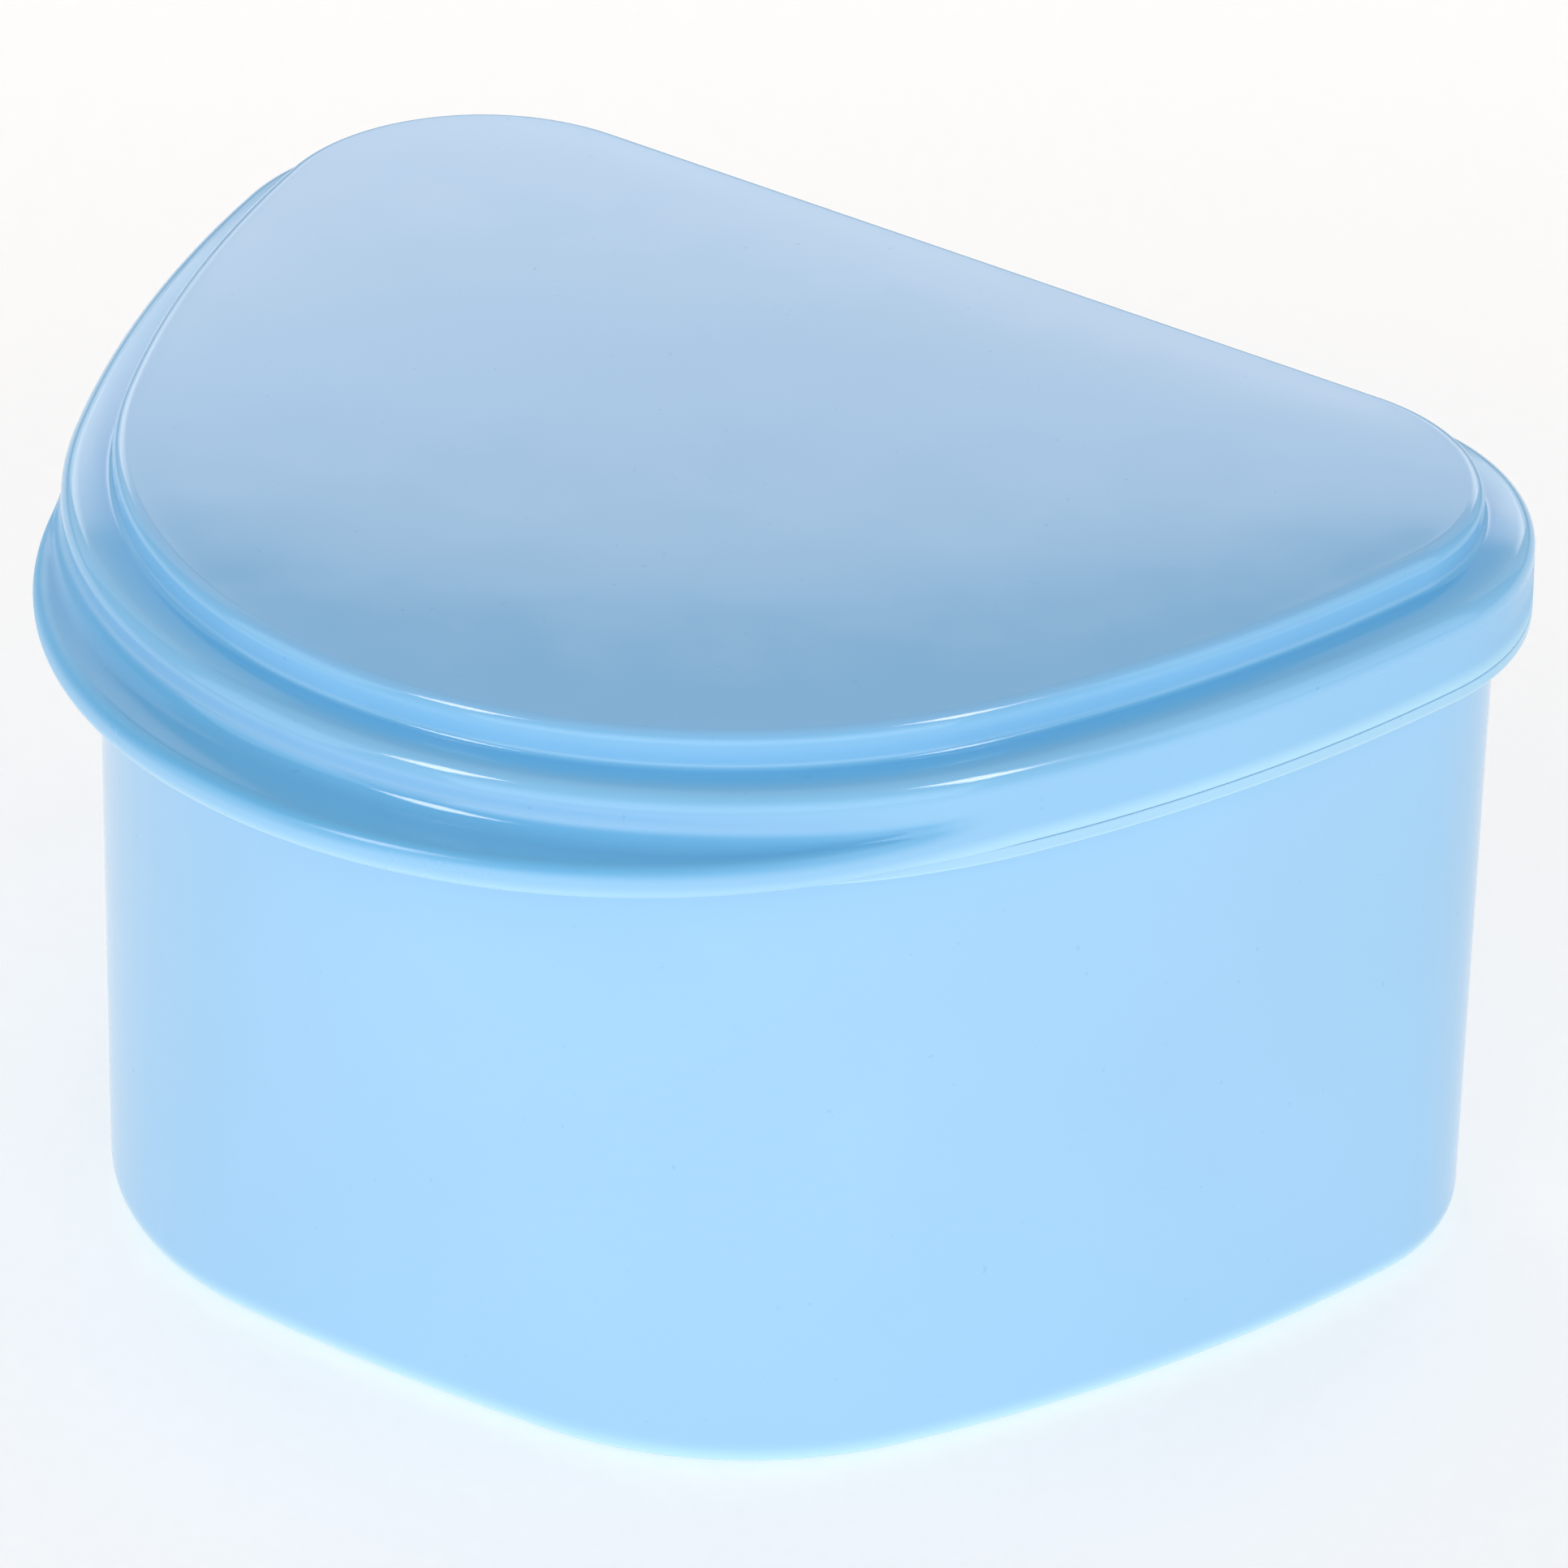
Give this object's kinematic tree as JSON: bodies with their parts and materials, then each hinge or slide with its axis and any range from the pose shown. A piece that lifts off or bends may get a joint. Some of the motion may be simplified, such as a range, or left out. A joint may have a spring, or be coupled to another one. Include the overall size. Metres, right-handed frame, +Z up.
{
  "type": "denture case",
  "caption": "D-shaped soaking tub with a stepped hinged lid, a curved thumb tab, a rim seal and a lift-out strainer basket with a folding bail.",
  "frame": {"origin": "on the resting plane, under the middle of the tub's foot", "axes": "+Z up; -Y to the front with the thumb tab; +X to the right as seen from the front; the straight back wall and the hinge are on +Y"},
  "size_m": [0.1, 0.0891, 0.0556],
  "materials": {
    "tub": "smooth moulded gloss, pale sky blue",
    "lid": "smooth moulded gloss, sky blue",
    "rod": "drawn stainless wire",
    "seal": "soft satin, milky",
    "basket": "satin moulded, milky white"
  },
  "bodies": {
    "tub": {"tub": "tub", "hinge_rod": "rod"},
    "lid": {"lid": "lid", "rim_seal": "seal"},
    "basket": {"strainer_basket": "basket"},
    "bail": {"basket_bail": "basket"}
  },
  "joints": [
    {"name": "lid_hinge", "type": "hinge", "parent": "tub", "child": "lid", "pos_m": [0, 0.0401, 0.0477], "axis": [-1, 0, 0], "range_deg": [0, 110]},
    {"name": "basket_lift", "type": "slide", "parent": "tub", "child": "basket", "axis": [0, 0, 1], "range_m": [0, 0.006]},
    {"name": "bail_fold", "type": "hinge", "parent": "basket", "child": "bail", "pos_m": [0, 0.0005, 0.032], "axis": [1, 0, 0], "range_deg": [0, 90]}
  ]
}
